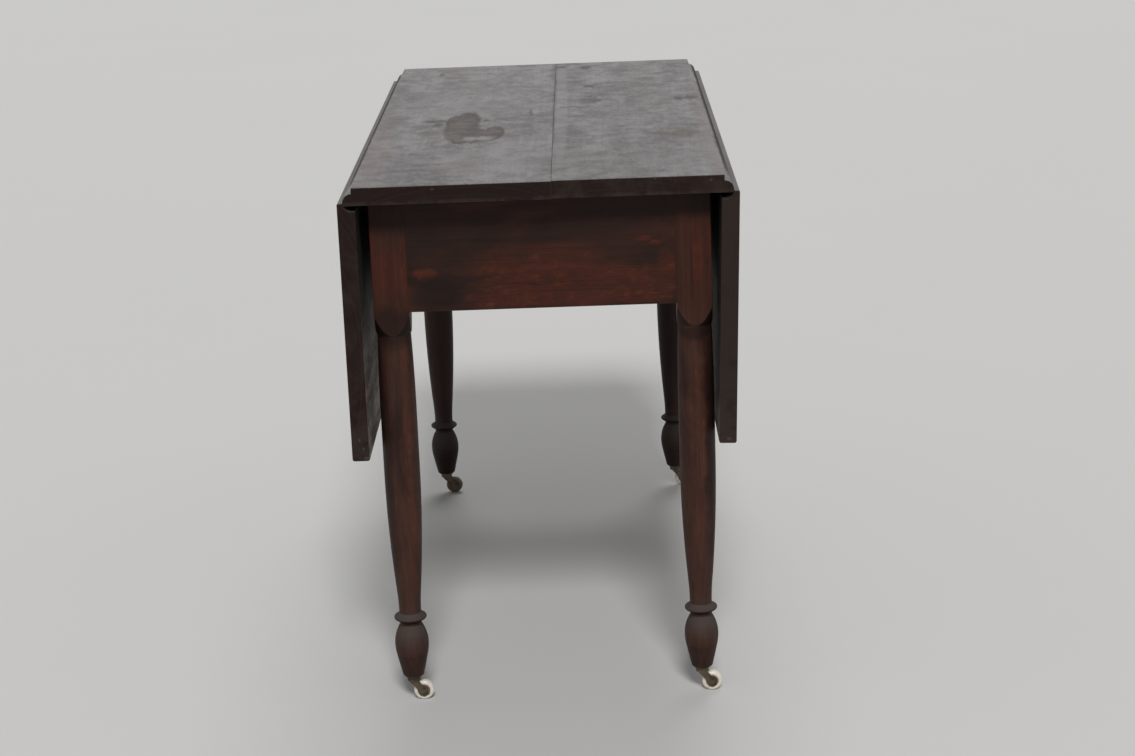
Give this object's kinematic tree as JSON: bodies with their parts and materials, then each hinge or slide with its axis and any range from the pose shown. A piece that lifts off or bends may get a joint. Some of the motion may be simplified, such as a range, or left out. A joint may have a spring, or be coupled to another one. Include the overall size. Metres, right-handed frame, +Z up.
{
  "type": "pembroke table",
  "caption": "Drop-leaf occasional table on turned legs with casters, its hinged leaves hanging from rule joints and held up by swinging brackets.",
  "frame": {"origin": "centre of the table's footprint, on the floor", "axes": "+X across the table to the right leaf, +Y along the table to its far end, +Z up"},
  "size_m": [0.5109, 1.016, 0.725],
  "materials": {
    "top_wood": "worn dull grey-brown varnish",
    "leaf_wood": "dark brown stain, dull",
    "frame_wood": "dark red-brown stain, satin",
    "rail_wood": "unfinished, aged",
    "hinge_iron": "dark, lightly rusted",
    "screw_iron": "dark, worn",
    "caster_brass": "dark tarnish",
    "white_ceramic": "glazed off-white, soiled",
    "brown_ceramic": "glazed brown, dull"
  },
  "bodies": {
    "frame": {"top_board_left": "top_wood", "side_rail_left": "rail_wood", "fly_knuckle_rail_left": "rail_wood", "fly_filler_rail_left": "rail_wood", "fly_pin_left": "hinge_iron", "glue_block_left": "rail_wood", "top_board_right": "top_wood", "side_rail_right": "rail_wood", "fly_knuckle_rail_right": "rail_wood", "fly_filler_rail_right": "rail_wood", "fly_pin_right": "hinge_iron", "glue_block_right": "rail_wood", "apron_front": "frame_wood", "glue_block_front": "rail_wood", "apron_back": "frame_wood", "glue_block_back": "rail_wood", "hinge_top_flap_left_front": "hinge_iron", "hinge_pin_left_front": "hinge_iron", "hinge_top_flap_left_back": "hinge_iron", "hinge_pin_left_back": "hinge_iron", "hinge_top_flap_right_front": "hinge_iron", "hinge_pin_right_front": "hinge_iron", "hinge_top_flap_right_back": "hinge_iron", "hinge_pin_right_back": "hinge_iron", "hinge_screws_top": "screw_iron", "glue_block_screws": "screw_iron", "leg_front_left": "frame_wood", "caster_socket_front_left": "caster_brass", "leg_front_right": "frame_wood", "caster_socket_front_right": "caster_brass", "leg_back_left": "frame_wood", "caster_socket_back_left": "caster_brass", "leg_back_right": "frame_wood", "caster_socket_back_right": "caster_brass"},
    "leaf_left": {"leaf_left": "leaf_wood", "hinge_screws_leaf_left": "screw_iron", "hinge_leaf_flap_left_front": "hinge_iron", "hinge_leaf_flap_left_back": "hinge_iron"},
    "fly_left": {"fly_bracket_left": "rail_wood"},
    "leaf_right": {"leaf_right": "leaf_wood", "hinge_screws_leaf_right": "screw_iron", "hinge_leaf_flap_right_front": "hinge_iron", "hinge_leaf_flap_right_back": "hinge_iron"},
    "fly_right": {"fly_bracket_right": "rail_wood"},
    "caster_front_left": {"caster_fork_front_left": "caster_brass", "caster_axle_front_left": "caster_brass"},
    "wheel_front_left": {"caster_wheel_front_left": "white_ceramic"},
    "caster_front_right": {"caster_fork_front_right": "caster_brass", "caster_axle_front_right": "caster_brass"},
    "wheel_front_right": {"caster_wheel_front_right": "white_ceramic"},
    "caster_back_left": {"caster_fork_back_left": "caster_brass", "caster_axle_back_left": "caster_brass"},
    "wheel_back_left": {"caster_wheel_back_left": "brown_ceramic"},
    "caster_back_right": {"caster_fork_back_right": "caster_brass", "caster_axle_back_right": "caster_brass"},
    "wheel_back_right": {"caster_wheel_back_right": "white_ceramic"}
  },
  "joints": [
    {"name": "leaf_left_fold", "type": "hinge", "parent": "frame", "child": "leaf_left", "pos_m": [-0.2365, 0, 0.706], "axis": [0, 1, 0], "range_deg": [0, 90]},
    {"name": "leaf_right_fold", "type": "hinge", "parent": "frame", "child": "leaf_right", "pos_m": [0.2365, 0, 0.706], "axis": [0, -1, 0], "range_deg": [0, 91.7]},
    {"name": "fly_left_swing", "type": "hinge", "parent": "frame", "child": "fly_left", "pos_m": [-0.208, -0.115, 0.655], "axis": [0, 0, 1], "range_deg": [0, 3]},
    {"name": "fly_right_swing", "type": "hinge", "parent": "frame", "child": "fly_right", "pos_m": [0.208, -0.115, 0.655], "axis": [0, 0, -1], "range_deg": [0, 3]},
    {"name": "caster_front_left_swivel", "type": "hinge", "parent": "frame", "child": "caster_front_left", "pos_m": [-0.197, -0.445, 0.0343], "axis": [0, 0, 1], "continuous": true},
    {"name": "caster_front_left_roll", "type": "hinge", "parent": "caster_front_left", "child": "wheel_front_left", "pos_m": [-0.184, -0.445, 0.01375], "axis": [0, 1, 0], "continuous": true},
    {"name": "caster_front_right_swivel", "type": "hinge", "parent": "frame", "child": "caster_front_right", "pos_m": [0.197, -0.445, 0.0343], "axis": [0, 0, 1], "continuous": true},
    {"name": "caster_front_right_roll", "type": "hinge", "parent": "caster_front_right", "child": "wheel_front_right", "pos_m": [0.21, -0.445, 0.01375], "axis": [0, 1, 0], "continuous": true},
    {"name": "caster_back_left_swivel", "type": "hinge", "parent": "frame", "child": "caster_back_left", "pos_m": [-0.197, 0.445, 0.0343], "axis": [0, 0, 1], "continuous": true},
    {"name": "caster_back_left_roll", "type": "hinge", "parent": "caster_back_left", "child": "wheel_back_left", "pos_m": [-0.184, 0.445, 0.01375], "axis": [0, 1, 0], "continuous": true},
    {"name": "caster_back_right_swivel", "type": "hinge", "parent": "frame", "child": "caster_back_right", "pos_m": [0.197, 0.445, 0.0343], "axis": [0, 0, 1], "continuous": true},
    {"name": "caster_back_right_roll", "type": "hinge", "parent": "caster_back_right", "child": "wheel_back_right", "pos_m": [0.21, 0.445, 0.01375], "axis": [0, 1, 0], "continuous": true}
  ]
}
